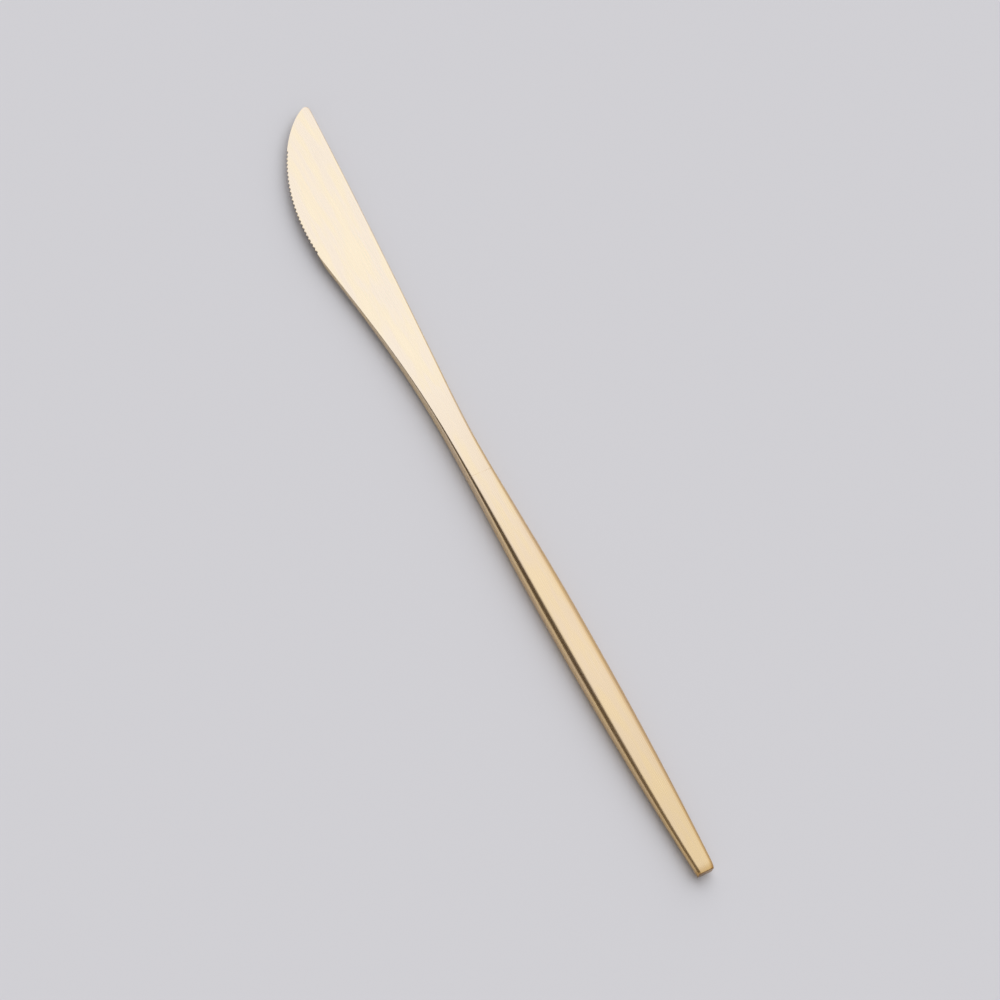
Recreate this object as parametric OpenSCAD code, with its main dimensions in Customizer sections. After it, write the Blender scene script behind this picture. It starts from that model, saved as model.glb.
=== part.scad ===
// Table knife with a hollow handle, lying on its side.
// +X runs along the handle's axis from the blade to the butt, -Y is the side of the cutting edge
// and +Z is up. The origin is on the rest flat, under the thickest part of the handle.
// Lengths are in millimetres. An x in the comments is measured from the blade's tip.

/* [Blade] */
// Blade and neck, from the tip to the joint with the handle
blade_l = 112; // [106:1:124]
// Cutting edge, from the tip to the heel
edge_l = 40; // [36:1:46]
// How far the spine stands off the handle's axis near the tip
spine_rise = 9; // [8:0.1:10.5]
// How far the heel hangs below the handle's axis
heel_drop = 9.1; // [8:0.1:10.5]
// Thickness of the spine at the heel
blade_t = 1.2; // [1:0.1:1.6]
// Thickness of the spine at the tip
tip_t = 0.9; // [0.7:0.1:1.3]
// Thickness of the cutting edge
edge_t = 0.3; // [0.2:0.05:0.5]
// Radius of the tip's corner
tip_r = 1.1; // [0.7:0.1:1.5]
// Length of the run behind the heel in which the ground edge comes up to full thickness
grind_out_l = 4; // [2:0.5:8]

/* [Serration] */
// Distance from tooth to tooth along the edge
tooth_pitch = 1.2; // [0.9:0.1:2]
// Depth of each scallop
tooth_depth = 0.4; // [0.2:0.05:0.5]
// Plain edge between the tip and the first tooth
plain_tip_l = 14; // [10:1:20]
// Plain edge between the last tooth and the heel
plain_heel_l = 0.3; // [0.2:0.1:3]

/* [Neck] */
// Width of the neck where it is narrowest
neck_w = 6.7; // [6.2:0.1:7.4]
// Distance from the handle's joint back to the narrowest place
neck_back = 14; // [12:1:20]

/* [Handle] */
// Handle, from the joint to the butt
handle_l = 118; // [108:1:130]
// Greatest width of the handle
handle_w = 8.8; // [8:0.1:9.8]
// Greatest thickness of the handle
handle_t = 5.1; // [4.7:0.1:6.2]
// Distance from the joint to the thickest place
swell_at = 43; // [38:1:52]
// Width at the butt
butt_w = 4.9; // [4.2:0.1:6]
// Thickness at the butt
butt_t = 2.8; // [2.4:0.1:3.4]
// Length along the axis of the rounded corner at the butt, on the spine's side
butt_run = 2.4; // [1.6:0.1:2.8]
// Depth of that corner across the handle
butt_drop = 0.5; // [0.2:0.1:0.9]
// Radius of the edge round the butt's end face
butt_edge_r = 0.3; // [0.2:0.05:0.5]
// Wall of the pressed handle shells
wall = 0.7; // [0.5:0.05:0.8]
// Solid end of the shells at the butt
butt_wall = 5; // [3:0.5:10]

/* [Joints] */
// Thickness of the braze in the seam and at the mouth
braze_t = 0.1; // [0.05:0.01:0.15]
// Length of the spigot in the mouth of the shells
spigot_l = 3; // [2:0.5:5]
// Clearance of the spigot and of the cement in the shells
fit_gap = 0.05; // [0.03:0.01:0.08]
// Length of the tang, from the joint
tang_l = 45; // [30:1:60]
// Width of the tang
tang_w = 3.4; // [2.6:0.1:4]
// Thickness of the tang
tang_t = 1.8; // [1.4:0.1:2.1]
// Length of each notch that keys the tang in the cement
notch_l = 3; // [2:0.5:4]
// Depth of each notch
notch_d = 0.5; // [0.3:0.1:0.8]

/* [Rest] */
// Depth that the rest flat takes off the underside of the handle
rest_cut = 0.18; // [0.12:0.02:0.3]

/* [Colours] */
// Colour of the coated steel
steel_colour = "#E6D2AE"; // [#E6D2AE, #D9D9D6, #B9744F, #3A3A3C]
// Colour of the braze
braze_colour = "#C9A24E"; // [#C9A24E, #D0D0CC]
// Colour of the handle's cement
cement_colour = "#8F8A80"; // [#8F8A80, #5B4636]

/* [Hidden] */

// Places along the axis, from the tip
overall_l = blade_l + handle_l;
neck_x = blade_l - neck_back;
swell_x = blade_l + swell_at;
mouth_x = blade_l + braze_t;
cavity_end_x = overall_l - butt_wall;

// Shape of the spine: nearly straight, then blended into the neck
spine_power_share = 1.21;
spine_blend_share = 0.15;
spine_lift = spine_rise - neck_w / 2;
spine_blend = spine_lift * spine_blend_share;

// Shape of the underside between the heel and the neck
under_start_power_share = 1.17;
under_end_power_share = 2.01;
under_drop = heel_drop - neck_w / 2;

// Shape of the handle's taper to the butt, in width and in thickness
taper_power_share = 2.28;
thin_power_share = 1.5;

// Shape of the thickness from the heel to the thickest place
thick_power_share = 0.89;

// Corner radius as a share of the thickness, on the blade's two sides and on the handle, and
// where it grows
blade_corner_share = 0.1;
spine_corner_share = 0.22;
handle_corner_share = 0.37;
corner_start_share = 0.65;
corner_start_x = neck_x * corner_start_share;

// Crown of the broad faces as a share of the thickness over the blade's
crown_share = 0.03;

// Shape of the belly, from the tip's corner to the heel
belly_tip_pull_share = 0.12;
belly_low_x_share = 0.38;
belly_low_y_share = 1.22;

// Steps that the curves are drawn with
corner_steps = 3;
tip_steps = 4;
plain_steps = 8;
tooth_steps = 4;
neck_steps = 26;
neck_spacing_share = 1.5;
shell_steps = 30;
butt_steps = 4;
cement_steps = 20;
belly_samples = 160;

// Cuts run past the faces that they open by this much
overrun = braze_t;

function mix(a, b, p) = a + (b - a) * p;
function clip(p) = min(max(p, 0), 1);
function ease(p) = clip(p) * clip(p) * (3 - 2 * clip(p));

// Blends a falling line d into 0 over the range from +e to -e
function soft(d, e) = d >= e ? d : d <= -e ? 0 : (d + e) * (d + e) / (4 * e);

// Half width of the symmetric neck and handle at x
function half_w(x) =
  x <= swell_x
    ? mix(neck_w, handle_w, ease((x - neck_x) / (swell_x - neck_x))) / 2
    : mix(handle_w, butt_w, pow((x - swell_x) / (overall_l - swell_x), taper_power_share)) / 2;

// Distance from the axis to the spine side at x
function spine_y(x) =
  half_w(x) + soft(spine_lift * (1 - pow(x / neck_x, spine_power_share)), spine_blend);

// Distance from the axis down to the underside at x, behind the heel
function under_p(x) = clip((x - edge_l) / (neck_x - edge_l));
function under_y(x) =
  half_w(x) + under_drop * pow(1 - pow(under_p(x), under_start_power_share), under_end_power_share);

// Thickness at x
function rise_p(x) = pow(clip((x - edge_l) / (swell_x - edge_l)), thick_power_share);
function fall_p(x) = pow(clip((x - swell_x) / (overall_l - swell_x)), thin_power_share);
function thick(x) =
  x <= edge_l
    ? mix(tip_t, blade_t, x / edge_l)
    : x <= swell_x
      ? mix(blade_t, handle_t, ease(rise_p(x)))
      : mix(handle_t, butt_t, ease(fall_p(x)));

// Thickness of the cutting edge's side at x, behind the heel
function edge_thick(x) = mix(edge_t, thick(x), ease((x - edge_l) / grind_out_l));

// Crown of the broad faces at x: none on the blade, growing with the thickness
function crown(x) = crown_share * max(thick(x) - blade_t, 0);

// Corner radius at x as a share of the thickness, on the underside and on the spine's side
function corner_p(x) = ease((x - corner_start_x) / (swell_x - corner_start_x));
function low_corner(x) = mix(blade_corner_share, handle_corner_share, corner_p(x));
function spine_corner(x) = mix(spine_corner_share, handle_corner_share, corner_p(x));

// How far the butt's end draws the section in at x: across the spine's side, and all round
function quarter(p) = 1 - sqrt(1 - clip(p) * clip(p));
function drop_at(x) = butt_drop * quarter((x - overall_l + butt_run) / butt_run);
function edge_at(x) = butt_edge_r * quarter((x - overall_l + butt_edge_r) / butt_edge_r);

// Half of a section between spine point b and edge point a, from b over its top to a. hb and ha
// are its heights there, rb and ra its corner radii, and z0 is the height of its two lower ends.
function half_section(b, a, hb, ha, rb, ra, crown_h, z0) =
  let (
    span = norm(a - b),
    way = (a - b) / span,
    flat = [
      [0, z0],
      for (i = [0:corner_steps])
        let (w = 90 * i / corner_steps)
          [rb - rb * cos(w), hb - crown_h - rb + rb * sin(w)],
      [span / 2, (hb + ha) / 2],
      for (i = [0:corner_steps])
        let (w = 90 * i / corner_steps)
          [span - ra + ra * sin(w), ha - crown_h - ra + ra * cos(w)],
      [span, z0]
    ]
  )
  [for (p = flat) [b.x + way.x * p.x, b.y + way.y * p.x, p.y]];

// The half section at x, drawn in by inset all round
function half_section_at(x, inset, z0) =
  let (
    deep = inset + edge_at(x),
    h = thick(x) / 2 - deep,
    b = [x, spine_y(x) - drop_at(x) - deep],
    a = [x, deep - under_y(x)]
  )
  half_section(b, a, h, h, 2 * h * spine_corner(x), 2 * h * low_corner(x), crown(x), z0);

// Closed section from an upper half and a lower half, without their lower ends. The lower half is
// drawn upwards and turned over here.
function closed_halves(upper, lower) =
  let (m = len(upper) - 2)
  concat([for (i = [1:m]) upper[i]], [for (i = [m:-1:1]) [lower[i].x, lower[i].y, -lower[i].z]]);
function closed_section(half) = closed_halves(half, half);

// Section between spine point b and edge point a, with a level top face at the given height and
// the thicknesses tb and ta there: the difference is ground off the underside.
function ground_section(b, a, top, tb, ta) =
  let (rb = tb * spine_corner(b.x), ra = ta * low_corner(b.x), c = crown(b.x))
  closed_halves(
    half_section(b, a, top, top, rb, ra, c, 0),
    half_section(b, a, tb - top, ta - top, rb, ra, c, 0)
  );

// The same section as points across the axis, for an extrusion along X
function across(section) = [for (p = section) [p.y, p.z]];

// Solid through closed sections that all have the same number of points
module loft(sections) {
  n = len(sections[0]);
  last = len(sections) - 1;
  polyhedron(
    points = [for (s = sections) each s],
    faces = concat(
      [for (j = [1:n - 2]) [0, j, j + 1]],
      [
        for (i = [0:last - 1])
          for (j = [0:n - 1])
            let (k = (j + 1) % n)
              each [
                [i * n + j, (i + 1) * n + k, i * n + k],
                [i * n + j, (i + 1) * n + j, (i + 1) * n + k]
              ]
      ],
      [for (j = [1:n - 2]) [last * n, last * n + j + 1, last * n + j]]
    )
  );
}

// Extrudes an outline that lies across the axis along X, from x by length l
module along_x(x, l) {
  translate([x, 0, 0])
    rotate([90, 0, 90])
      linear_extrude(l)
        children();
}

// Puts the knife on its rest flat
module placed() {
  translate([-swell_x, 0, handle_t / 2 - rest_cut])
    children();
}

// The belly is one Bezier curve from the tip's corner to the heel
tip_c = [tip_r, spine_y(tip_r) - tip_r];
tip_low_angle = 198;
tip_high_angle = 88;
tip_mid_angle = (tip_low_angle + tip_high_angle) / 2;
function on_tip(w) = tip_c + tip_r * [cos(w), sin(w)];
belly_a = on_tip(tip_low_angle);
belly_b = belly_a + edge_l * belly_tip_pull_share * [-sin(tip_low_angle), cos(tip_low_angle)];
belly_c = [edge_l * belly_low_x_share, -heel_drop * belly_low_y_share];
belly_d = [edge_l, -heel_drop];
function belly(t) =
  pow(1 - t, 3) * belly_a
  + 3 * t * pow(1 - t, 2) * belly_b
  + 3 * pow(t, 2) * (1 - t) * belly_c
  + pow(t, 3) * belly_d;
function belly_way(t) =
  let (
    d = pow(1 - t, 2) * (belly_b - belly_a)
      + 2 * t * (1 - t) * (belly_c - belly_b)
      + pow(t, 2) * (belly_d - belly_c)
  )
  d / norm(d);

// Length along the belly against the curve's own parameter
belly_table = [
  for (
    i = 0, s = 0;
    i <= belly_samples;
    s = s + norm(belly((i + 1) / belly_samples) - belly(i / belly_samples)), i = i + 1
  )
    [s, i / belly_samples]
];
belly_l = belly_table[belly_samples][0];

// The teeth fill the room between the two plain ends
toothed_l = belly_l - plain_tip_l - plain_heel_l;
tooth_count = floor(toothed_l / tooth_pitch);
teeth_start = belly_l - plain_heel_l - tooth_count * tooth_pitch;
teeth_end = belly_l - plain_heel_l;
tooth_slices = tooth_count * tooth_steps;

// Lengths along the belly at which the blade has a section
belly_stops = [
  for (i = [1:plain_steps]) teeth_start * i / plain_steps,
  for (i = [1:tooth_slices]) teeth_start + tooth_pitch * i / tooth_steps,
  belly_l
];

// Depth of the scallop at length s along the belly
function scallop(s) =
  s <= teeth_start || s >= teeth_end ? 0 : tooth_depth * abs(sin(180 * (s - teeth_start) / tooth_pitch));

// Point of the toothed edge at length s
function edge_point(s) =
  let (t = lookup(s, belly_table), way = belly_way(t))
  belly(t) + scallop(s) * [-way.y, way.x];

tip_sections = [
  for (i = [1:tip_steps])
    let (
      low = on_tip(mix(tip_mid_angle, tip_low_angle, i / tip_steps)),
      high = on_tip(mix(tip_mid_angle, tip_high_angle, i / tip_steps)),
      t = mix(edge_t, tip_t, i / tip_steps)
    )
      ground_section(high, low, tip_t / 2, t, edge_t)
];
belly_sections = [
  for (s = belly_stops)
    let (x = mix(tip_r, edge_l, s / belly_l), b = [x, spine_y(x)], t = thick(x))
      ground_section(b, edge_point(s), t / 2, t, edge_t)
];
neck_sections = [
  for (i = [1:neck_steps])
    let (
      x = mix(edge_l, blade_l, pow(i / neck_steps, neck_spacing_share)),
      b = [x, spine_y(x)],
      a = [x, -under_y(x)],
      t = thick(x)
    )
      ground_section(b, a, t / 2, t, edge_thick(x))
];

// Outline of the tang in plan, with a notch in each edge and a drawn-in end
tang_taper_share = 0.6;
tang_taper_l = tang_w;
notch_x = blade_l + tang_l / 2;
tang_side = [
  [blade_l - overrun, tang_w / 2],
  [notch_x - notch_l / 2, tang_w / 2],
  [notch_x - notch_l / 2, tang_w / 2 - notch_d],
  [notch_x + notch_l / 2, tang_w / 2 - notch_d],
  [notch_x + notch_l / 2, tang_w / 2],
  [blade_l + tang_l - tang_taper_l, tang_w / 2],
  [blade_l + tang_l, tang_w / 2 * tang_taper_share]
];
tang_outline = concat(tang_side, [for (i = [len(tang_side) - 1:-1:0]) [tang_side[i].x, -tang_side[i].y]]);

module tang() {
  translate([0, 0, -tang_t / 2])
    linear_extrude(tang_t)
      polygon(tang_outline);
}

// One forging: serrated blade, neck, spigot and tang
module blade() {
  color(steel_colour)
    placed() {
      loft(concat(tip_sections, belly_sections, neck_sections));
      along_x(blade_l - overrun, spigot_l + braze_t + overrun)
        polygon(across(closed_section(half_section_at(blade_l, wall + fit_gap, 0))));
      tang();
    }
}

// Stations of a handle shell: even along the cavity, then round the butt's end
cavity_stops = [for (i = [0:shell_steps]) mix(mouth_x, cavity_end_x, i / shell_steps)];
butt_stops = [
  for (i = [0:butt_steps - 1]) mix(overall_l - butt_run, overall_l - butt_edge_r, i / butt_steps),
  for (i = [0:butt_steps]) overall_l - butt_edge_r * (1 - sin(90 * i / butt_steps))
];
shell_outer = [for (x = concat(cavity_stops, butt_stops)) half_section_at(x, 0, braze_t / 2)];
shell_inner = [for (x = cavity_stops) half_section_at(x, wall, braze_t / 2)];

// Half of the hollow handle, above the seam, as one closed skin
module half_shell() {
  m = len(shell_outer[0]);
  n = len(shell_outer) - 1;
  k = shell_steps;
  inner = len(shell_outer) * m;
  polyhedron(
    points = concat([for (s = shell_outer) each s], [for (s = shell_inner) each s]),
    faces = concat(
      [
        for (i = [0:n - 1])
          for (j = [0:m - 2])
            each [
              [i * m + j, (i + 1) * m + j + 1, i * m + j + 1],
              [i * m + j, (i + 1) * m + j, (i + 1) * m + j + 1]
            ]
      ],
      [
        for (i = [0:k - 1])
          for (j = [0:m - 2])
            each [
              [inner + i * m + j, inner + i * m + j + 1, inner + (i + 1) * m + j + 1],
              [inner + i * m + j, inner + (i + 1) * m + j + 1, inner + (i + 1) * m + j]
            ]
      ],
      [for (j = [0:m - 2]) [j, j + 1, inner + j + 1, inner + j]],
      [
        for (i = [0:k - 1])
          each [
            [i * m, inner + i * m, inner + (i + 1) * m, (i + 1) * m],
            [i * m + m - 1, (i + 1) * m + m - 1, inner + (i + 1) * m + m - 1, inner + i * m + m - 1]
          ]
      ],
      [
        [inner + k * m, inner + k * m + m - 1, (k + 2) * m - 1, (k + 1) * m],
        [inner + k * m + m - 1, k * m + m - 1, (k + 2) * m - 1],
        [inner + k * m, (k + 1) * m, k * m],
        [for (i = [k + 1:n]) i * m + m - 1, for (i = [n:-1:k + 1]) i * m]
      ],
      [[for (j = [0:m - 1]) inner + k * m + j]],
      [[for (j = [m - 1:-1:0]) n * m + j]]
    )
  );
}

module upper_handle_shell() {
  color(steel_colour)
    placed()
      half_shell();
}

// The lower half has the rest flat on its underside
module lower_handle_shell() {
  color(steel_colour)
    placed()
      difference() {
        mirror([0, 0, 1])
          half_shell();
        translate([blade_l, -handle_w, -handle_t - handle_t / 2 + rest_cut])
          cube([handle_l, 2 * handle_w, handle_t]);
      }
}

// Braze foil between the rims of the two shells
seam_last = len(shell_outer) - 1;
seam_side = len(shell_outer[0]) - 1;
seam_outline = [
  for (i = [0:seam_last]) [shell_outer[i][0].x, shell_outer[i][0].y],
  for (i = [seam_last:-1:0]) [shell_outer[i][seam_side].x, shell_outer[i][seam_side].y],
  for (s = shell_inner) [s[seam_side].x, s[seam_side].y],
  for (i = [shell_steps:-1:0]) [shell_inner[i][0].x, shell_inner[i][0].y]
];

module seam_braze() {
  color(braze_colour)
    placed()
      translate([0, 0, -braze_t / 2])
        linear_extrude(braze_t)
          polygon(seam_outline);
}

// Braze ring between the neck's shoulder and the mouth of the shells
module mouth_braze() {
  color(braze_colour)
    placed()
      along_x(blade_l, braze_t)
        difference() {
          polygon(across(closed_section(half_section_at(blade_l, 0, 0))));
          polygon(across(closed_section(half_section_at(blade_l, wall, 0))));
        }
}

// Cement that fills the handle round the tang
cement_start_x = mouth_x + spigot_l + fit_gap;
cement_end_x = cavity_end_x - fit_gap;

module handle_cement() {
  color(cement_colour)
    placed()
      difference() {
        loft([
          for (i = [0:cement_steps])
            let (x = mix(cement_start_x, cement_end_x, i / cement_steps))
              closed_section(half_section_at(x, wall + fit_gap, 0))
        ]);
        tang();
      }
}

blade();
upper_handle_shell();
lower_handle_shell();
seam_braze();
mouth_braze();
handle_cement();
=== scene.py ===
"""Table knife: the finished blade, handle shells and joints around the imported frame, and a stage.

The knife lies on its broad side. +X runs from the blade to the butt, -Y is the side of the
cutting edge and +Z is up. Lengths are in metres. A place called s is a distance along the
knife from the blade's tip. Pieces are shaped with the tip at x = 0 and the knife's axis at
z = 0, and are then moved to where the frame has them.
"""

import math
from collections import namedtuple

import bmesh
import bpy
from bpy.props import FloatProperty, FloatVectorProperty, PointerProperty
from mathutils import Matrix, Vector
from mathutils.geometry import interpolate_bezier


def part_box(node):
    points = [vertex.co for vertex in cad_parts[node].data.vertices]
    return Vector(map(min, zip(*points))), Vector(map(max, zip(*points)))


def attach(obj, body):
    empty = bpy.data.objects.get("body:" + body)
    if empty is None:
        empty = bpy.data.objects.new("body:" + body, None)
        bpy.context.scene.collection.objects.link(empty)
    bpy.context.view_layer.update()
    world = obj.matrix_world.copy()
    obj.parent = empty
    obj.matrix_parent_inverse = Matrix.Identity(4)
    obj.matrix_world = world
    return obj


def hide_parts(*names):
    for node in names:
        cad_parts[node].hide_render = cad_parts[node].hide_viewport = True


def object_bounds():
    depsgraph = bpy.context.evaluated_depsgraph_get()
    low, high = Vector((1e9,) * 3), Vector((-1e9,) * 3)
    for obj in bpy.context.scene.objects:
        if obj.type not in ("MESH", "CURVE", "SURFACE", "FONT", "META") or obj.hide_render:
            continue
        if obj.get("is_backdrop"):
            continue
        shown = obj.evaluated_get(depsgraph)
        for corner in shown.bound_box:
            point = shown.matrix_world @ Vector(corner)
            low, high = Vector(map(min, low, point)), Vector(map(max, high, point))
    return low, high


bl_info = {
    "name": "Table Knife",
    "version": (1, 0, 0),
    "blender": (4, 5, 0),
    "location": "View3D > Sidebar > Table Knife",
    "description": "Models a satin table knife with a hollow handle around its packed frame",
    "category": "Object",
}

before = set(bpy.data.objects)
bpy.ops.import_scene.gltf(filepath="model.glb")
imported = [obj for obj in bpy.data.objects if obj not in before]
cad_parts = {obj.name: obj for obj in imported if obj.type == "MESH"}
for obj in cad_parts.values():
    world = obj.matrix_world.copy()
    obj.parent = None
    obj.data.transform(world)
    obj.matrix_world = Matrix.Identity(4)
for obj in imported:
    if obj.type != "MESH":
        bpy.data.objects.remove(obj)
CAD_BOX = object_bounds()

# Places that the frame sets
BLADE_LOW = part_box("blade")[0]
SHELL_LOW, SHELL_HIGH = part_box("upper_handle_shell")
RING_LOW, RING_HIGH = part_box("mouth_braze")
SEAM_LOW, SEAM_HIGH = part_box("seam_braze")
TIP_X = BLADE_LOW.x
AXIS_Z = (SEAM_LOW.z + SEAM_HIGH.z) / 2
JOINT_S = RING_LOW.x - TIP_X
ALONG = Vector((1, 0, 0))
UP = Vector((0, 0, 1))

# Shares that shape the outline
SPINE_POWER = 1.21
SPINE_BLEND = 0.15
UNDER_START_POWER = 1.17
UNDER_END_POWER = 2.01
TAPER_POWER = 2.28
THICK_POWER = 0.89
THIN_POWER = 1.5
BELLY_START_ANGLE = math.radians(198)
BELLY_TIP_PULL = 0.12
BELLY_LOW_S = 0.38
BELLY_LOW_Y = 1.22
UNDER_CORNER_SHARE = 0.1
SPINE_CORNER_SHARE = 0.22
HANDLE_CORNER_SHARE = 0.37
CORNER_START_SHARE = 0.78
CROWN_SHARE = 0.03
TANG_END_SHARE = 0.6

# Steps that the curves are drawn with
BELLY_SAMPLES = 1200
TIP_STEPS = 9
PLAIN_STEPS = 28
TOOTH_STEPS = 6
NECK_STEPS = 74
NECK_SPACING = 1.5
HANDLE_STEPS = 80
BUTT_STEPS = 6
ROWS = 3
ROUND_SEGMENTS = 8
QUARTER_TURN = math.radians(90)
SMOOTH_ANGLE = math.radians(32)

# Limits that tell faces and edges apart: distances that count as none, and parts of a normal
SAME_PLACE = 1e-7
SAME_PLANE = 1e-6
LEVEL_FACE = 0.7
UPRIGHT_FACE = 0.3
END_FACE = 0.9

# Sizes of the coat's clouds as shares of a brush line's length, along the knife and across it
CLOUD_LENGTH = 1 / 2
CLOUD_WIDTH = 1 / 12

# What the coat's noises run over, and the tones and the spread of roughness that they give
LINE_NOISE = (0.3, 0.7)
LINE_TONES = (0.994, 1.004)
CLOUD_NOISE = (0.3, 0.7)
CLOUD_TONES = (0.97, 1.02)
ROUGH_NOISE = (0.25, 0.75)
ROUGH_SPREAD = 0.02

# Where each tint of the coat starts and is full: parts of the normal, and for the drift the clouds.
# The side, spine and end-face tints are painted shade; the drift is the film's own colour.
SIDE_SHADE_REACH = (0.97, 0.6)
SPINE_SHADE_REACH = (0.0, 0.16)
END_FACE_SHADE_REACH = (0.5, 0.95)
DRIFT_REACH = (0.4, 0.6)

# The handle's cement: its grains of sand, and how dark it is between them
SAND_GRAIN = 0.0004
CEMENT_DARK = 0.75

# Parts of the room: the way to each, how nearly the view has to turn that way for the part to
# start and to be full, as cosines, and the strengths that it has there
Glow = namedtuple("Glow", "towards start full low high")
OVERHEAD = Glow((-0.1, 0.35, 0.93), 0.55, 0.97, 0.48, 1.06)
WINDOW = Glow((0.35, -0.9, 0.2), 0.2, 0.7, 0.0, 0.2)
FAR_WALL = Glow((0, 1, 0), 0.75, 0.95, 0.0, 0.15)
# The dark screen on the edge's side takes light away between its two ends
SCREEN = Glow((0, -1, 0), 0.22, 0.5, 0.0, 0.62)
SCREEN_START = Glow((-1, 0, 0), -0.05, 0.16, 0.0, 1.0)
SCREEN_END = Glow((-1, 0, 0), 0.5, 0.7, 1.0, 0.0)
# Strengths between which the room's light goes from warm to white
WARM_TO_WHITE = (0.1, 0.8)

# A section across the knife: the height of its level top face, its half thicknesses at the spine
# and at the edge, the crown of its faces and its corner radii
Section = namedtuple(
    "Section", "s spine_y edge_y top spine_half edge_half crown spine_round edge_round"
)


def length(name, description, default):
    """A length that a user may change."""
    return FloatProperty(
        name=name, description=description, default=default, min=0.0, unit="LENGTH", precision=4
    )


def angle(name, description, degrees):
    """An angle that a user may change."""
    return FloatProperty(
        name=name, description=description, default=math.radians(degrees), subtype="ANGLE"
    )


def linear(hex_colour):
    """An sRGB hex colour as linear red, green and blue."""
    channels = [int(hex_colour[i : i + 2], 16) / 255 for i in (1, 3, 5)]
    return [c / 12.92 if c <= 0.04045 else ((c + 0.055) / 1.055) ** 2.4 for c in channels]


def colour(name, description, hex_colour):
    """A colour that a user may change."""
    return FloatVectorProperty(
        name=name,
        description=description,
        default=linear(hex_colour),
        size=3,
        min=0.0,
        max=1.0,
        subtype="COLOR",
    )


class BladeSizes(bpy.types.PropertyGroup):
    """Sizes of the blade and the neck."""

    length: length("Length", "From the tip to the joint with the handle", JOINT_S)
    edge_length: length("Edge", "Cutting edge, from the tip to the heel", 0.040)
    spine_rise: length("Spine rise", "Height of the spine over the axis near the tip", 0.009)
    heel_drop: length("Heel drop", "Drop of the heel below the axis", 0.0091)
    thickness: length("Thickness", "Thickness of the spine at the heel", 0.0012)
    tip_thickness: length("Tip thickness", "Thickness of the spine at the tip", 0.0009)
    edge_thickness: length("Edge thickness", "Thickness of the cutting edge", 0.0003)
    tip_radius: length("Tip radius", "Radius of the tip's corner", 0.0011)
    grind_out: length("Grind out", "From the heel to where the edge has full thickness", 0.004)
    tooth_pitch: length("Tooth pitch", "Distance from tooth to tooth along the edge", 0.0012)
    tooth_depth: length("Tooth depth", "Depth of each scallop", 0.0004)
    plain_tip: length("Plain tip", "Plain edge between the tip and the first tooth", 0.014)
    plain_heel: length("Plain heel", "Plain edge between the last tooth and the heel", 0.0003)
    neck_width: length("Neck width", "Width of the neck where it is narrowest", 0.0067)
    neck_back: length("Neck back", "From the joint back to the narrowest place", 0.014)


class HandleSizes(bpy.types.PropertyGroup):
    """Sizes of the handle's shells and of the blade's root inside them."""

    length: length("Length", "From the joint to the butt", SHELL_HIGH.x - RING_LOW.x)
    width: length("Width", "Greatest width of the handle", SHELL_HIGH.y - SHELL_LOW.y)
    thickness: length("Thickness", "Greatest thickness of the handle", 2 * (SHELL_HIGH.z - AXIS_Z))
    swell_at: length("Swell", "From the joint to the thickest place", 0.043)
    butt_width: length("Butt width", "Width at the butt", 0.0049)
    butt_thickness: length("Butt thickness", "Thickness at the butt", 0.0028)
    butt_run: length("Butt run", "Length along the axis of the butt's rounded corner", 0.0024)
    butt_drop: length("Butt drop", "Depth of that corner across the handle", 0.0005)
    butt_edge: length("Butt edge", "Radius of the edge round the butt's end face", 0.0003)
    wall: length("Wall", "Wall of the shells", 0.0007)
    butt_wall: length("Butt wall", "Solid end of the shells at the butt", 0.005)
    braze: length("Braze", "Thickness of the braze in the joints", SEAM_HIGH.z - SEAM_LOW.z)
    fit_gap: length("Clearance", "Clearance of the spigot in the shells", 0.00005)
    spigot: length("Spigot", "Length of the spigot in the mouth of the shells", 0.003)
    tang_length: length("Tang length", "Length of the tang, from the joint", 0.045)
    tang_width: length("Tang width", "Width of the tang", 0.0034)
    tang_thickness: length("Tang thickness", "Thickness of the tang", 0.0018)
    notch_length: length("Notch length", "Length of each notch that keys the tang", 0.003)
    notch_depth: length("Notch depth", "Depth of each notch", 0.0005)


class FinishSettings(bpy.types.PropertyGroup):
    """Colours and brushing of the coated steel, with painted highlight and painted shade in some of
    its colours.
    """

    # The blade's coat is painted paler than the handle's: a painted highlight.
    blade_coat_painted_highlight: colour("Blade coat", "Colour of the coat on the blade", "#F8EAD8")
    handle_coat: colour("Handle coat", "Colour of the coat on the handle", "#EDD7B9")
    # The coat near the butt is painted deeper than the handle's: painted shade.
    butt_coat_painted_shade: colour("Butt coat", "Colour of the coat near the butt", "#E2CAA6")
    # The coat over the butt's rounded rim is painted deeper still: painted shade where the rim
    # turns away.
    end_coat_painted_shade: colour("End coat", "Colour of the coat at the butt's rim", "#CAAA79")
    # Corners and narrow sides are painted deeper than the broad faces: painted shade.
    side_painted_shade: colour("Side tint", "What corners and narrow sides multiply the coat by", "#FFF6E2")
    # Faces turned to the spine are painted deeper: painted shade.
    spine_painted_shade: colour("Spine tint", "What faces turned to the spine multiply it by", "#F3E8D6")
    # The butt's end face is painted darker: painted shade.
    end_face_painted_shade: colour("End tint", "What the butt's end face multiplies it by", "#CBC4BE")
    drift_tint: colour("Drift tint", "What the film multiplies it by where it's thicker", "#FFFEF5")
    braze_coat: colour("Braze coat", "Colour of the coat over the braze", "#E2C69D")
    cement: colour("Cement", "Colour of the handle's cement", "#8F8A80")
    roughness: FloatProperty(
        name="Roughness",
        description="Roughness of the satin finish",
        default=0.27,
        min=0.0,
        max=1.0,
        subtype="FACTOR",
    )
    brush_length: length("Brush length", "Length of a brush line", 0.03)
    brush_spacing: length("Brush spacing", "Distance between brush lines", 0.00025)


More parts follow.
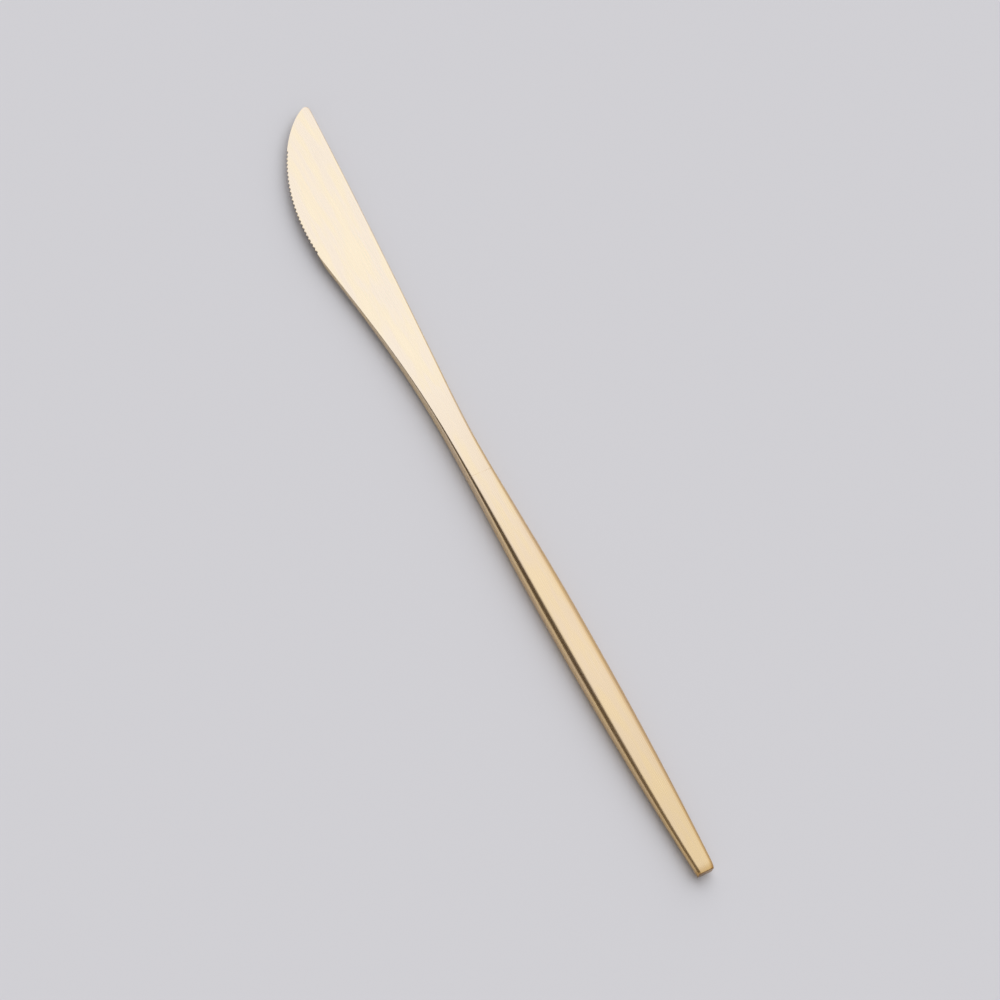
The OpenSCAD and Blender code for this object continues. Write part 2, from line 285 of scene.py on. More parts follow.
class StageSettings(bpy.types.PropertyGroup):
    """Floor, light and camera."""

    floor_colour: colour("Floor", "Colour of the floor", "#CCCDD3")
    floor_size: length("Floor size", "Side of the floor", 12.0)
    warm_light: colour("Warm light", "Colour of the room's dim parts", "#FFDFBE")
    key_way: FloatVectorProperty(
        name="Key light",
        description="The way from the knife to the key light",
        default=(-0.62, 0.52, 0.66),
        size=3,
        subtype="XYZ",
    )
    key_energy: FloatProperty(
        name="Key energy",
        description="Strength of the key light",
        default=1.7,
        min=0.0,
    )
    key_spread: angle("Key spread", "Angle that the key light takes up in the sky", 75)
    camera_distance: length("Camera distance", "From the camera to its aim", 1.2)
    camera_aim: FloatVectorProperty(
        name="Camera aim",
        description="Point at the middle of the picture",
        default=(-0.03533, 0.00193, 0.00073),
        size=3,
        subtype="TRANSLATION",
        unit="LENGTH",
        precision=5,
    )
    camera_azimuth: angle("Azimuth", "Turn of the camera round the knife", 40.62)
    camera_elevation: angle("Elevation", "Height of the camera over the horizon", 63.08)
    camera_roll: angle("Roll", "Turn of the camera about its own line of sight", 22.95)
    lens_mm: FloatProperty(
        name="Lens",
        description="Focal length in millimetres on a 36 mm wide sensor",
        default=170.57,
        min=1.0,
    )


def mix(a, b, share):
    """The value at a share of the way from a to b."""
    return a + (b - a) * share


def ease(share):
    """A share from 0 to 1 that starts and stops gently."""
    held = min(max(share, 0.0), 1.0)
    return held * held * (3 - 2 * held)


def soft_end(value, reach):
    """Blends a falling line into 0 over the range from reach to -reach."""
    if value >= reach:
        return value
    if value <= -reach:
        return 0.0
    return (value + reach) ** 2 / (4 * reach)


class Outline:
    """Widths and thicknesses of the knife at a place s."""

    def __init__(self, blade, handle):
        self.blade = blade
        self.handle = handle
        self.total = blade.length + handle.length
        self.neck_s = blade.length - blade.neck_back
        self.swell_s = blade.length + handle.swell_at
        self.tip_y = self.spine(blade.tip_radius) - blade.tip_radius
        self.belly = self.sampled_belly()

    def half_width(self, s):
        """Half the width of the symmetric neck and handle."""
        blade, handle = self.blade, self.handle
        if s <= self.swell_s:
            share = ease((s - self.neck_s) / (self.swell_s - self.neck_s))
            return mix(blade.neck_width, handle.width, share) / 2
        share = ((s - self.swell_s) / (self.total - self.swell_s)) ** TAPER_POWER
        return mix(handle.width, handle.butt_width, share) / 2

    def spine(self, s):
        """Distance from the axis to the spine side."""
        lift = self.blade.spine_rise - self.blade.neck_width / 2
        fall = lift * (1 - (s / self.neck_s) ** SPINE_POWER)
        return self.half_width(s) + soft_end(fall, lift * SPINE_BLEND)

    def underside(self, s):
        """Distance from the axis down to the underside behind the heel."""
        blade = self.blade
        drop = blade.heel_drop - blade.neck_width / 2
        share = (s - blade.edge_length) / (self.neck_s - blade.edge_length)
        held = min(max(share, 0.0), 1.0)
        return self.half_width(s) + drop * (1 - held**UNDER_START_POWER) ** UNDER_END_POWER

    def half_thickness(self, s):
        """Half the thickness, measured at the spine on the blade."""
        blade, handle = self.blade, self.handle
        if s <= blade.edge_length:
            return mix(blade.tip_thickness, blade.thickness, s / blade.edge_length) / 2
        if s <= self.swell_s:
            share = (s - blade.edge_length) / (self.swell_s - blade.edge_length)
            return mix(blade.thickness, handle.thickness, ease(share**THICK_POWER)) / 2
        share = min((s - self.swell_s) / (self.total - self.swell_s), 1.0)
        return mix(handle.thickness, handle.butt_thickness, ease(share**THIN_POWER)) / 2

    def crown(self, s):
        """Rise of the broad faces at their middle."""
        return CROWN_SHARE * max(2 * self.half_thickness(s) - self.blade.thickness, 0.0)

    def corner(self, s, blade_share):
        """Corner radius as a share of the thickness: small on the blade, large on the handle."""
        start = self.neck_s * CORNER_START_SHARE
        share = ease((s - start) / (self.swell_s - start))
        return mix(blade_share, HANDLE_CORNER_SHARE, share)

    def sampled_belly(self):
        """Points of the cutting edge without its teeth, each with its distance along the edge."""
        blade = self.blade
        way = Vector((math.cos(BELLY_START_ANGLE), math.sin(BELLY_START_ANGLE)))
        start = Vector((blade.tip_radius, self.tip_y)) + blade.tip_radius * way
        start_pull = start + blade.edge_length * BELLY_TIP_PULL * Vector((-way.y, way.x))
        end_pull = Vector((blade.edge_length * BELLY_LOW_S, -blade.heel_drop * BELLY_LOW_Y))
        end = Vector((blade.edge_length, -blade.heel_drop))
        points = interpolate_bezier(start, start_pull, end_pull, end, BELLY_SAMPLES)
        run = 0.0
        belly = [(run, points[0])]
        for before, after in zip(points, points[1:]):
            run += (after - before).length
            belly.append((run, after))
        return belly

    def belly_point(self, run):
        """The point of the belly at a distance along the edge."""
        for (run_a, a), (run_b, b) in zip(self.belly, self.belly[1:]):
            if run <= run_b:
                return a.lerp(b, (run - run_a) / (run_b - run_a))
        return self.belly[-1][1]


def ground_section(outline, s, spine_y, edge_y, top, spine_half):
    """A section of the ground blade: level on top, with the edge thinned from below."""
    edge_half = outline.blade.edge_thickness / 2
    corner = 2 * spine_half * outline.corner(s, SPINE_CORNER_SHARE)
    return Section(
        s,
        spine_y,
        edge_y,
        top,
        spine_half,
        edge_half,
        crown=0.0,
        spine_round=corner,
        edge_round=0.0,
    )


def tip_sections(outline):
    """Sections round the tip's corner, from the nose back."""
    blade = outline.blade
    radius = blade.tip_radius
    belly_start = outline.belly[0][1]
    for i in range(TIP_STEPS):
        turn = QUARTER_TURN * (i + 0.5) / TIP_STEPS
        s = radius * (1 - math.cos(turn))
        reach = radius * math.sin(turn)
        low = outline.tip_y - reach
        if s > belly_start.x:
            low = next(p.y for _, p in outline.belly if p.x >= s)
        half = mix(blade.edge_thickness, blade.tip_thickness, ease(s / radius)) / 2
        yield ground_section(outline, s, outline.tip_y + reach, low, blade.tip_thickness / 2, half)


def edge_runs(outline):
    """Distances along the edge at which the blade has a section, each with its scallop's depth."""
    blade = outline.blade
    total = outline.belly[-1][0]
    teeth = math.floor((total - blade.plain_tip - blade.plain_heel) / blade.tooth_pitch)
    first = total - blade.plain_heel - teeth * blade.tooth_pitch
    for i in range(PLAIN_STEPS):
        yield first * i / PLAIN_STEPS, 0.0
    for i in range(teeth * TOOTH_STEPS + 1):
        depth = blade.tooth_depth * abs(math.sin(math.pi * i / TOOTH_STEPS))
        yield first + blade.tooth_pitch * i / TOOTH_STEPS, depth
    yield total, 0.0


def blade_sections(outline):
    """Sections of the forging, from the tip to the joint."""
    blade = outline.blade
    sections = list(tip_sections(outline))
    for run, depth in edge_runs(outline):
        point = outline.belly_point(run)
        if point.x < blade.tip_radius:
            continue
        half = outline.half_thickness(point.x)
        spine_y = outline.spine(point.x)
        sections.append(ground_section(outline, point.x, spine_y, point.y + depth, half, half))
    for i in range(1, NECK_STEPS + 1):
        s = mix(blade.edge_length, blade.length, (i / NECK_STEPS) ** NECK_SPACING)
        half = outline.half_thickness(s)
        grind_share = ease((s - blade.edge_length) / blade.grind_out)
        ground = mix(blade.edge_thickness / 2, half, grind_share)
        sections.append(
            Section(
                s,
                outline.spine(s),
                -outline.underside(s),
                half,
                half,
                ground,
                crown=outline.crown(s),
                spine_round=2 * half * outline.corner(s, SPINE_CORNER_SHARE),
                edge_round=2 * ground * outline.corner(s, UNDER_CORNER_SHARE),
            )
        )
    return sections


def quarter(share):
    """How far a quarter circle of radius 1 has turned in at a share of its run."""
    held = min(max(share, 0.0), 1.0)
    return 1 - math.sqrt(1 - held * held)


def handle_section(outline, s, inset):
    """A section of the handle, drawn in by inset and by the butt's rounded end."""
    handle = outline.handle
    left = outline.total - s
    deep = inset + handle.butt_edge * quarter(1 - left / handle.butt_edge)
    drop = handle.butt_drop * quarter(1 - left / handle.butt_run)
    half_width = outline.half_width(s) - deep
    half = outline.half_thickness(s) - deep
    return Section(
        s,
        half_width - drop,
        -half_width,
        half,
        half,
        half,
        crown=outline.crown(s),
        spine_round=2 * half * outline.corner(s, SPINE_CORNER_SHARE),
        edge_round=2 * half * outline.corner(s, UNDER_CORNER_SHARE),
    )


def handle_sections(outline):
    """Sections of the handle's skin from the joint to the butt."""
    handle = outline.handle
    start = outline.blade.length
    butt_start = outline.total - handle.butt_run
    edge_start = outline.total - handle.butt_edge
    spots = [mix(start, butt_start, i / HANDLE_STEPS) for i in range(1, HANDLE_STEPS)]
    spots += [mix(butt_start, edge_start, i / BUTT_STEPS) for i in range(BUTT_STEPS)]
    turns = [QUARTER_TURN * i / BUTT_STEPS for i in range(BUTT_STEPS + 1)]
    spots += [edge_start + handle.butt_edge * math.sin(turn) for turn in turns]
    return [handle_section(outline, s, 0.0) for s in spots]


def hollow_sections(outline, start, end):
    """Sections of the handle's cavity between two places."""
    spots = [mix(start, end, i / HANDLE_STEPS) for i in range(HANDLE_STEPS + 1)]
    return [handle_section(outline, s, outline.handle.wall) for s in spots]


def deselect_all():
    """Leaves edit mode and clears the selection."""
    if bpy.context.mode != "OBJECT":
        bpy.ops.object.mode_set(mode="OBJECT")
    bpy.ops.object.select_all(action="DESELECT")


def pick(piece):
    """Makes the piece the active one and the only one selected, so operators act on it alone."""
    deselect_all()
    piece.select_set(True)
    bpy.context.view_layer.objects.active = piece


def edit(piece):
    """Opens the piece in edit mode and returns its mesh."""
    pick(piece)
    bpy.ops.object.mode_set(mode="EDIT")
    return bmesh.from_edit_mesh(piece.data)


def select_only(mesh, chosen):
    """Selects these vertices or faces of the open mesh and nothing else."""
    bpy.ops.mesh.select_all(action="DESELECT")
    for part in chosen:
        part.select = True
    mesh.select_flush(True)


def apply_modifier(piece, kind, **settings):
    """Adds a modifier with its settings and applies it."""
    pick(piece)
    modifier = piece.modifiers.new(kind.title(), kind)
    for name, value in settings.items():
        setattr(modifier, name, value)
    bpy.ops.object.modifier_apply(modifier=modifier.name)


def weigh_thickness(piece, sections, columns, thickest):
    """Gives each vertex of the flat grid its share of the greatest half thickness."""
    group = piece.vertex_groups.new(name="thickness")
    for section, column in zip(sections, columns):
        width = section.spine_y - section.edge_y
        for index in column:
            across = (section.spine_y - piece.data.vertices[index].co.y) / width
            half = mix(section.spine_half, section.edge_half, across)
            half -= section.crown * (2 * across - 1) ** 2
            group.add([index], half / thickest, "REPLACE")


def weigh_rims(piece, sections, widest):
    """Gives each long rim its share of the greatest corner radius."""
    mesh = bmesh.new()
    mesh.from_mesh(piece.data)
    layer = mesh.edges.layers.float.new("bevel_weight_edge")
    spans = list(zip(sections, sections[1:]))
    for edge in mesh.edges:
        a, b = (vertex.co for vertex in edge.verts)
        flat, upright = sorted(edge.link_faces, key=lambda face: -abs(face.normal.z))
        if abs(flat.normal.z) < LEVEL_FACE or abs(upright.normal.z) > UPRIGHT_FACE:
            continue
        if abs(a.x - b.x) < SAME_PLACE:
            continue
        middle = (a + b) / 2
        ends = min(spans, key=lambda span: abs(span[0].s + span[1].s - 2 * middle.x))
        on_spine = middle.y > sum(end.spine_y + end.edge_y for end in ends) / 4
        radius = sum(end.spine_round if on_spine else end.edge_round for end in ends) / 2
        edge[layer] = radius / widest
    mesh.to_mesh(piece.data)
    mesh.free()


def bar(name, sections):
    """A closed bar through the sections: a grid drawn to the outline, thickened and rounded."""
    deselect_all()
    bpy.ops.mesh.primitive_grid_add(x_subdivisions=len(sections) - 1, y_subdivisions=ROWS, size=1)
    piece = bpy.context.active_object
    piece.name = name
    mesh = edit(piece)
    by_place = sorted(mesh.verts, key=lambda vertex: vertex.co.x)
    high = ROWS + 1
    columns = [by_place[i * high : (i + 1) * high] for i in range(len(sections))]
    for section, column in zip(sections, columns):
        at = (column[0].co.x, 0, 0)
        width = section.spine_y - section.edge_y
        tilt = math.atan2(section.spine_half - section.edge_half, width)
        spine_y = section.spine_y - section.spine_half * math.sin(tilt)
        edge_y = section.edge_y + section.edge_half * math.sin(tilt)
        select_only(mesh, column)
        slant_width = (spine_y - edge_y) / math.cos(tilt)
        bpy.ops.transform.resize(value=(1, slant_width, 1), center_override=at)
        bpy.ops.transform.rotate(value=tilt, orient_axis="X", center_override=at)
        middle_y = (spine_y + edge_y) / 2
        middle_z = section.top - (section.spine_half + section.edge_half) / 2
        bpy.ops.transform.translate(value=(section.s - at[0], middle_y, middle_z))
    indices = [[vertex.index for vertex in column] for column in columns]
    deselect_all()
    thickest = max(max(section.spine_half, section.edge_half) for section in sections)
    weigh_thickness(piece, sections, indices, thickest)
    apply_modifier(
        piece,
        "SOLIDIFY",
        thickness=2 * thickest,
        offset=0,
        vertex_group="thickness",
        use_even_offset=False,
    )
    widest = max(max(section.spine_round, section.edge_round) for section in sections)
    weigh_rims(piece, sections, widest)
    apply_modifier(
        piece,
        "BEVEL",
        limit_method="WEIGHT",
        width=widest,
        segments=ROUND_SEGMENTS,
        use_clamp_overlap=False,
    )
    return piece


def end_faces(mesh, s):
    """Faces of the open mesh that lie across the axis at s and look to the butt."""
    across = [face for face in mesh.faces if face.normal.x > END_FACE]
    return [face for face in across if abs(face.calc_center_median().x - s) < SAME_PLANE]


def extrude_along(distance):
    """Extrudes the selected faces along the axis."""
    bpy.ops.mesh.extrude_region_move(TRANSFORM_OT_translate={"value": (distance, 0, 0)})


def grow_root(piece, outline):
    """Draws the spigot and the notched tang out of the forging's end."""
    blade, handle = outline.blade, outline.handle
    mesh = edit(piece)
    select_only(mesh, end_faces(mesh, blade.length))
    inset = handle.wall + handle.fit_gap
    bpy.ops.mesh.inset(thickness=inset, use_boundary=True, use_even_offset=True)
    extrude_along(handle.spigot + handle.braze)
    spigot_width = 2 * (outline.half_width(blade.length) - inset)
    spigot_thickness = 2 * (outline.half_thickness(blade.length) - inset)
    at = blade.length + handle.spigot + handle.braze
    notch_start = blade.length + (handle.tang_length - handle.notch_length) / 2
    notch_end = notch_start + handle.notch_length
    full = handle.tang_width
    notched = full - 2 * handle.notch_depth
    taper_start = blade.length + handle.tang_length - full
    extrude_along(0)
    shares = (1, full / spigot_width, handle.tang_thickness / spigot_thickness)
    bpy.ops.transform.resize(value=shares, center_override=(at, 0, 0))
    width = full
    for stop, next_width in (
        (notch_start, full),
        (notch_start, notched),
        (notch_end, notched),
        (notch_end, full),
        (taper_start, full),
        (blade.length + handle.tang_length, full * TANG_END_SHARE),
    ):
        extrude_along(stop - at)
        at = stop
        bpy.ops.transform.resize(value=(1, next_width / width, 1), center_override=(at, 0, 0))
        width = next_width
    deselect_all()


def cut(piece, place, axis, keep_beyond):
    """Cuts the piece square to an axis at a place, closes the cut and keeps one side."""
    edit(piece)
    bpy.ops.mesh.select_all(action="SELECT")
    bpy.ops.mesh.bisect(
        plane_co=place * axis,
        plane_no=axis,
        threshold=SAME_PLACE,
        use_fill=True,
        clear_inner=keep_beyond,
        clear_outer=not keep_beyond,
    )
    deselect_all()


def cut_skin(name, outline, s, keep_beyond):
    """The whole knife's skin up to a cut across it, or from the cut on.

    Blade and handle are ground and polished as one after brazing, so both are cut from one skin.
    """
    sections = blade_sections(outline) + handle_sections(outline)
    piece = bar(name, sections)
    cut(piece, s, ALONG, keep_beyond)
    return piece


def copied(piece, name):
    """A copy of the piece with its own mesh."""
    pick(piece)
    bpy.ops.object.duplicate(linked=False)
    twin = bpy.context.active_object
    twin.name = name
    return twin


def finish_piece(piece, material, node):
    """Puts the piece where the frame has its node, smooths it and gives it its finish."""
    edit(piece)
    bpy.ops.mesh.select_all(action="SELECT")
    bpy.ops.transform.translate(value=(TIP_X, 0, AXIS_Z))
    pick(piece)
    bpy.ops.object.shade_smooth_by_angle(angle=SMOOTH_ANGLE)
    apply_modifier(piece, "WEIGHTED_NORMAL", mode="FACE_AREA", weight=80, keep_sharp=True)
    piece.vertex_groups.clear()
    piece.data.materials.clear()
    piece.data.materials.append(material)
    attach(piece, "root")
    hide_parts(node)


def add_node(tree, kind, inputs=None, **settings):
    """Adds a node with its settings. An input is a value, or another node's output to link."""
    made = tree.nodes.new(kind)
    for name, value in settings.items():
        setattr(made, name, value)
    for name, value in (inputs or {}).items():
        if isinstance(value, bpy.types.NodeSocket):
            tree.links.new(value, made.inputs[name])
        else:
            made.inputs[name].default_value = value
    return made


def ranged(tree, value, from_range, to_range=(0.0, 1.0), kind="LINEAR"):
    """The value moved from one range to the other and held inside it."""
    inputs = {0: value, 1: from_range[0], 2: from_range[1], 3: to_range[0], 4: to_range[1]}
    return add_node(tree, "ShaderNodeMapRange", inputs, interpolation_type=kind).outputs[0]


def reckoned(tree, operation, *values):
    """The result of a math node."""
    inputs = dict(enumerate(values))
    return add_node(tree, "ShaderNodeMath", inputs, operation=operation).outputs[0]


def mixed(tree, amount, first, second, **settings):
    """The first colour with an amount of the second one mixed into it."""
    inputs = {"Factor": amount, 6: first, 7: second}
    return add_node(tree, "ShaderNodeMix", inputs, data_type="RGBA", **settings).outputs[2]


def drawn_out_noise(tree, place, scale, inputs):
    """Noise with its own scale along each axis."""
    vector = add_node(tree, "ShaderNodeMapping", {"Vector": place, "Scale": scale}).outputs[0]
    inputs = {"Vector": vector, "Scale": 1.0, **inputs}
    return add_node(tree, "ShaderNodeTexNoise", inputs).outputs[0]


def new_material(name):
    """An empty node material and its tree."""
    material = bpy.data.materials.new(name)
    material.use_nodes = True
    material.node_tree.nodes.clear()
    return material, material.node_tree


def opaque(rgb):
    """The colour with full alpha."""
    return (*rgb, 1.0)


def brushed_coat(name, stops, finish):
    """Satin steel 18/10 under a champagne coat laid down by vapour.

    The steel is brushed along the knife before it is coated, so the coat keeps fine lines that
    run along X and a highlight that spreads across them. The coat is a thin metal film, so it
    colours its reflections. Along the knife its colour is painted paler on the blade, a painted
    highlight, and deeper towards the butt and its rim, painted shade. The corners and the narrow
    sides get a deeper colour of painted shade than the broad faces. Faces turned to the spine
    get deeper painted shade still, and so does the butt's end face. The film's thickness drifts
    a little, so its colour does. The stops are places along X, each with the coat's colour there,
    painted highlight and shade included.
    """
    material, tree = new_material(name)
    coordinates = add_node(tree, "ShaderNodeTexCoord").outputs
    place = coordinates["Object"]
    along = 1 / finish.brush_length
    across = 1 / finish.brush_spacing
    lines = drawn_out_noise(
        tree, place, (along, across, across), {"Detail": 3.0, "Roughness": 0.6}
    )
    cloud_scale = (along / CLOUD_LENGTH, along / CLOUD_WIDTH, along / CLOUD_WIDTH)
    clouds = drawn_out_noise(tree, place, cloud_scale, {"Detail": 2.0})

    x = add_node(tree, "ShaderNodeSeparateXYZ", {0: place}).outputs[0]
    start, end = stops[0][0], stops[-1][0]
    fade = add_node(tree, "ShaderNodeValToRGB", {"Fac": ranged(tree, x, (start, end))})
    fade.color_ramp.interpolation = "EASE"
    while len(fade.color_ramp.elements) < len(stops):
        fade.color_ramp.elements.new(0.5)
    for element, (place_x, coat_colour) in zip(fade.color_ramp.elements, stops):
        element.position = (place_x - start) / (end - start)
        element.color = opaque(coat_colour)

    # The normal picks where painted shade goes: corners and narrow sides, faces turned to the spine
    # and the butt's end face.
    normal = add_node(tree, "ShaderNodeSeparateXYZ", {0: coordinates["Normal"]}).outputs
    level = reckoned(tree, "ABSOLUTE", normal[2])
    coat = fade.outputs["Color"]
    # The side, spine and end-face tints are painted shade; the drift tint is the film's own colour,
    # varying at random.
    for value, reach, tint in (
        (level, SIDE_SHADE_REACH, finish.side_painted_shade),
        (normal[1], SPINE_SHADE_REACH, finish.spine_painted_shade),
        (normal[0], END_FACE_SHADE_REACH, finish.end_face_painted_shade),
        (clouds, DRIFT_REACH, finish.drift_tint),
    ):
        amount = ranged(tree, value, reach, kind="SMOOTHSTEP")
        coat = mixed(tree, amount, coat, opaque(tint), blend_type="MULTIPLY")
    line_tone = ranged(tree, lines, LINE_NOISE, LINE_TONES)
    cloud_tone = ranged(tree, clouds, CLOUD_NOISE, CLOUD_TONES)
    shade = reckoned(tree, "MULTIPLY", line_tone, cloud_tone)
    painted = add_node(
        tree, "ShaderNodeVectorMath", {0: coat, "Scale": shade}, operation="SCALE"
    ).outputs[0]

    rough_range = (finish.roughness - ROUGH_SPREAD, finish.roughness + ROUGH_SPREAD)
    bump = add_node(
        tree, "ShaderNodeBump", {"Strength": 0.05, "Distance": 0.00001, "Height": lines}
    ).outputs[0]
    tangent = add_node(tree, "ShaderNodeTangent", direction_type="RADIAL", axis="X").outputs[0]
    shader = add_node(
        tree,
        "ShaderNodeBsdfPrincipled",
        {
            "Base Color": painted,
            "Metallic": 1.0,
            "Roughness": ranged(tree, lines, ROUGH_NOISE, rough_range),
            "Anisotropic": 0.3,
            "Normal": bump,
            "Tangent": tangent,
        },
    )
    add_node(tree, "ShaderNodeOutputMaterial", {"Surface": shader.outputs[0]})
    return material


def coat_stops(outline, finish):
    """Where the coat has its blade, handle, butt and end colours. The blade's paler colour is a
    painted highlight, and the butt's and the end's deeper colours are painted shade.
    """
    blade_end = (outline.blade.edge_length + outline.neck_s) / 2
    return (
        (TIP_X + blade_end, finish.blade_coat_painted_highlight),
        (TIP_X + outline.swell_s, finish.handle_coat),
        (TIP_X + outline.total - outline.handle.butt_run, finish.butt_coat_painted_shade),
        (TIP_X + outline.total, finish.end_coat_painted_shade),
    )


def cement_material(finish):
    """Filled resin cement cast in the handle: a dull grey-brown mass with fine sand grains."""
    material, tree = new_material("Handle cement, cast resin and sand")
    place = add_node(tree, "ShaderNodeTexCoord").outputs["Object"]
    sand = add_node(
        tree, "ShaderNodeTexNoise", {"Vector": place, "Scale": 1 / SAND_GRAIN, "Detail": 2.0}
    ).outputs[0]
    dark = [CEMENT_DARK * channel for channel in finish.cement]
    painted = mixed(tree, sand, opaque(dark), opaque(finish.cement))
    bump = add_node(
        tree, "ShaderNodeBump", {"Strength": 0.4, "Distance": SAND_GRAIN / 4, "Height": sand}
    ).outputs[0]
    shader = add_node(
        tree,
        "ShaderNodeBsdfPrincipled",
        {"Base Color": painted, "Roughness": 0.85, "Normal": bump},
    )
    add_node(tree, "ShaderNodeOutputMaterial", {"Surface": shader.outputs[0]})
    return material


def floor_material(stage):
    """A plain matt board. It isn't drawn from below, so that the knife's underside can be seen."""
    material, tree = new_material("Plain matt board")
    board = add_node(
        tree,
        "ShaderNodeBsdfDiffuse",
        {"Color": opaque(stage.floor_colour), "Roughness": 0.0},
    ).outputs[0]
    clear = add_node(tree, "ShaderNodeBsdfTransparent").outputs[0]
    below = add_node(tree, "ShaderNodeNewGeometry").outputs["Backfacing"]
    sided = add_node(tree, "ShaderNodeMixShader", {0: below, 1: board, 2: clear}).outputs[0]
    add_node(tree, "ShaderNodeOutputMaterial", {"Surface": sided})
    return material


def light_the_room(scene, stage):
    """A room that is bright overhead and fades to the horizon.

    On the edge's side it has a window and a dark screen, and on the spine's side a pale far
    wall. Its dim parts are warm.
    """
    world = bpy.data.worlds.new("Soft studio")
    world.use_nodes = True
    scene.world = world
    tree = world.node_tree
    tree.nodes.clear()
    way = add_node(tree, "ShaderNodeTexCoord").outputs["Generated"]

    def strength_of(part):
        """How strong a part of the room is where the view goes."""
        aim = Vector(part.towards).normalized()
        facing = add_node(
            tree, "ShaderNodeVectorMath", {0: way, 1: aim}, operation="DOT_PRODUCT"
        ).outputs["Value"]
        reach = (part.start, part.full)
        return ranged(tree, facing, reach, (part.low, part.high), kind="SMOOTHSTEP")

    span = reckoned(tree, "MULTIPLY", strength_of(SCREEN_START), strength_of(SCREEN_END))
    screen = reckoned(tree, "MULTIPLY", strength_of(SCREEN), span)
    walls = reckoned(tree, "ADD", strength_of(WINDOW), strength_of(FAR_WALL))
    lit = reckoned(tree, "ADD", strength_of(OVERHEAD), walls)
    strength = reckoned(tree, "SUBTRACT", lit, screen)
    warmth = ranged(tree, strength, WARM_TO_WHITE, (1.0, 0.0))
    tint = mixed(tree, warmth, opaque((1.0, 1.0, 1.0)), opaque(stage.warm_light))
    background = add_node(tree, "ShaderNodeBackground", {"Color": tint, "Strength": strength})
    add_node(tree, "ShaderNodeOutputWorld", {"Surface": background.outputs[0]})


def add_key_light(stage):
    """A large soft key that throws the knife's shadow to the cutting edge's side.

    The coat doesn't reflect it, because the room already has the light that the coat shows.
    """
    deselect_all()
    towards = Vector(stage.key_way).normalized()
    bpy.ops.object.light_add(type="SUN", location=towards)
    key = bpy.context.active_object
    key.name = "key_light"
    key.rotation_euler = towards.to_track_quat("Z", "Y").to_euler()
    key.data.energy = stage.key_energy
    key.data.angle = stage.key_spread
    key.visible_glossy = False


def add_camera(scene, stage):
    """The photograph's view."""
    azimuth, elevation, roll = stage.camera_azimuth, stage.camera_elevation, stage.camera_roll
    back = Vector(
        (
            math.sin(azimuth) * math.cos(elevation),
            -math.cos(azimuth) * math.cos(elevation),
            math.sin(elevation),
        )
    )
    level = UP.cross(back).normalized()
    rise = back.cross(level)
    right = level * math.cos(roll) + rise * math.sin(roll)
    up = rise * math.cos(roll) - level * math.sin(roll)
    data = bpy.data.cameras.new("Camera")
    data.lens = stage.lens_mm
    data.sensor_width = 36
    data.clip_start = 0.01
    data.clip_end = 50
    camera = bpy.data.objects.new("camera", data)
    turn = Matrix((right, up, back)).transposed().to_4x4()
    place = Vector(stage.camera_aim) + stage.camera_distance * back
    camera.matrix_world = Matrix.Translation(place) @ turn
    scene.collection.objects.link(camera)
    scene.camera = camera


class TABLE_KNIFE_OT_stage(bpy.types.Operator):
    """Adds the floor, the light and the camera"""

    bl_idname = "table_knife.stage"
    bl_label = "Set the stage"

    def execute(self, context):
        scene = context.scene
        stage = scene.knife_stage
        scene.view_settings.view_transform = "Standard"
        deselect_all()
        bpy.ops.mesh.primitive_plane_add(size=stage.floor_size)
        floor = context.active_object
        floor.name = "floor"
        floor.data.materials.append(floor_material(stage))
        floor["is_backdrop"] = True
        light_the_room(scene, stage)
        add_key_light(stage)
        add_camera(scene, stage)
        return {"FINISHED"}


class TABLE_KNIFE_OT_blade(bpy.types.Operator):
    """Models the forging: serrated blade, neck, spigot and tang"""

    bl_idname = "table_knife.blade"
    bl_label = "Forge the blade"

    def execute(self, context):
        scene = context.scene
        finish = scene.knife_finish
        outline = Outline(scene.knife_blade, scene.knife_handle)
        forging = cut_skin("blade_forging", outline, outline.blade.length, keep_beyond=False)
        grow_root(forging, outline)
        stops = coat_stops(outline, finish)
        coat = brushed_coat("Champagne coat on satin steel, blade", stops, finish)
        finish_piece(forging, coat, "blade")
        return {"FINISHED"}


class TABLE_KNIFE_OT_shells(bpy.types.Operator):
    """Models the two pressed shells of the hollow handle"""

    bl_idname = "table_knife.shells"
    bl_label = "Press the handle shells"

    def execute(self, context):
        scene = context.scene
        finish = scene.knife_finish
        outline = Outline(scene.knife_blade, scene.knife_handle)
        handle = outline.handle
        mouth = outline.blade.length + handle.braze
        cavity_end = outline.total - handle.butt_wall
        skin = cut_skin("upper_shell", outline, mouth, keep_beyond=True)
        hollow = bar("hollow", hollow_sections(outline, mouth - handle.wall, cavity_end))
        apply_modifier(skin, "BOOLEAN", operation="DIFFERENCE", solver="EXACT", object=hollow)
        bpy.data.objects.remove(hollow)
        stops = coat_stops(outline, finish)
        coat = brushed_coat("Champagne coat on satin steel, handle", stops, finish)
        lower = copied(skin, "lower_shell")
        cut(skin, handle.braze / 2, UP, keep_beyond=True)
        cut(lower, -handle.braze / 2, UP, keep_beyond=False)
        # The flat that the knife rests on
        cut(lower, -AXIS_Z, UP, keep_beyond=True)
        finish_piece(skin, coat, "upper_handle_shell")
        finish_piece(lower, coat, "lower_handle_shell")
        return {"FINISHED"}


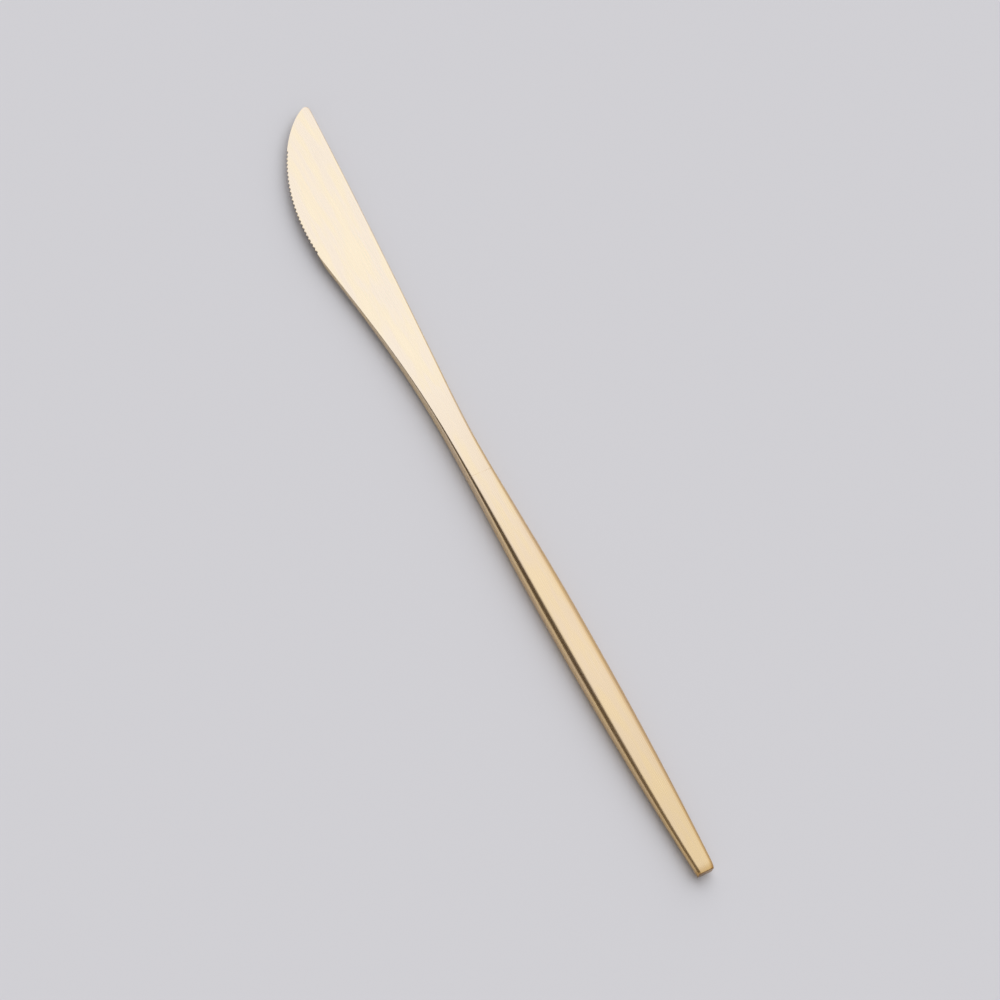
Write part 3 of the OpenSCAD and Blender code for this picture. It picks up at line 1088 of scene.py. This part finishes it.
class TABLE_KNIFE_OT_joints(bpy.types.Operator):
    """Finishes the brazed joints and the cement that holds the tang"""

    bl_idname = "table_knife.joints"
    bl_label = "Finish the joints"

    def execute(self, context):
        finish = context.scene.knife_finish
        stops = ((RING_HIGH.x, finish.handle_coat), (SEAM_HIGH.x, finish.braze_coat))
        coat = brushed_coat("Champagne coat over silver braze", stops, finish)
        for name, material in (
            ("seam_braze", coat),
            ("mouth_braze", coat),
            ("handle_cement", cement_material(finish)),
        ):
            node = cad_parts[name]
            for slot in node.material_slots:
                slot.material = material
        return {"FINISHED"}


class TABLE_KNIFE_PT_panel(bpy.types.Panel):
    """Sizes, finishes and steps of the table knife"""

    bl_label = "Table Knife"
    bl_idname = "TABLE_KNIFE_PT_panel"
    bl_space_type = "VIEW_3D"
    bl_region_type = "UI"
    bl_category = "Table Knife"

    def draw(self, context):
        for operator in STEPS:
            self.layout.operator(operator.bl_idname)
        for group in GROUPS:
            box = self.layout.box()
            settings = getattr(context.scene, group)
            for name in settings.__annotations__:
                box.prop(settings, name)


STEPS = (
    TABLE_KNIFE_OT_stage,
    TABLE_KNIFE_OT_blade,
    TABLE_KNIFE_OT_shells,
    TABLE_KNIFE_OT_joints,
)
GROUPS = {
    "knife_blade": BladeSizes,
    "knife_handle": HandleSizes,
    "knife_finish": FinishSettings,
    "knife_stage": StageSettings,
}
CLASSES = (*GROUPS.values(), *STEPS, TABLE_KNIFE_PT_panel)


def register():
    """Registers the classes and hangs the settings on the scene."""
    for made in CLASSES:
        bpy.utils.register_class(made)
    for name, group in GROUPS.items():
        setattr(bpy.types.Scene, name, PointerProperty(type=group))


def unregister():
    """Takes back what register() did."""
    for name in GROUPS:
        delattr(bpy.types.Scene, name)
    for made in reversed(CLASSES):
        bpy.utils.unregister_class(made)


def main():
    """Makes the scene step by step."""
    register()
    bpy.ops.table_knife.stage()
    bpy.ops.table_knife.blade()
    bpy.ops.table_knife.shells()
    bpy.ops.table_knife.joints()
    boxes = {"cad": CAD_BOX, "visual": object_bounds()}
    plain = {name: [list(corner) for corner in box] for name, box in boxes.items()}


if __name__ == "__main__":
    main()
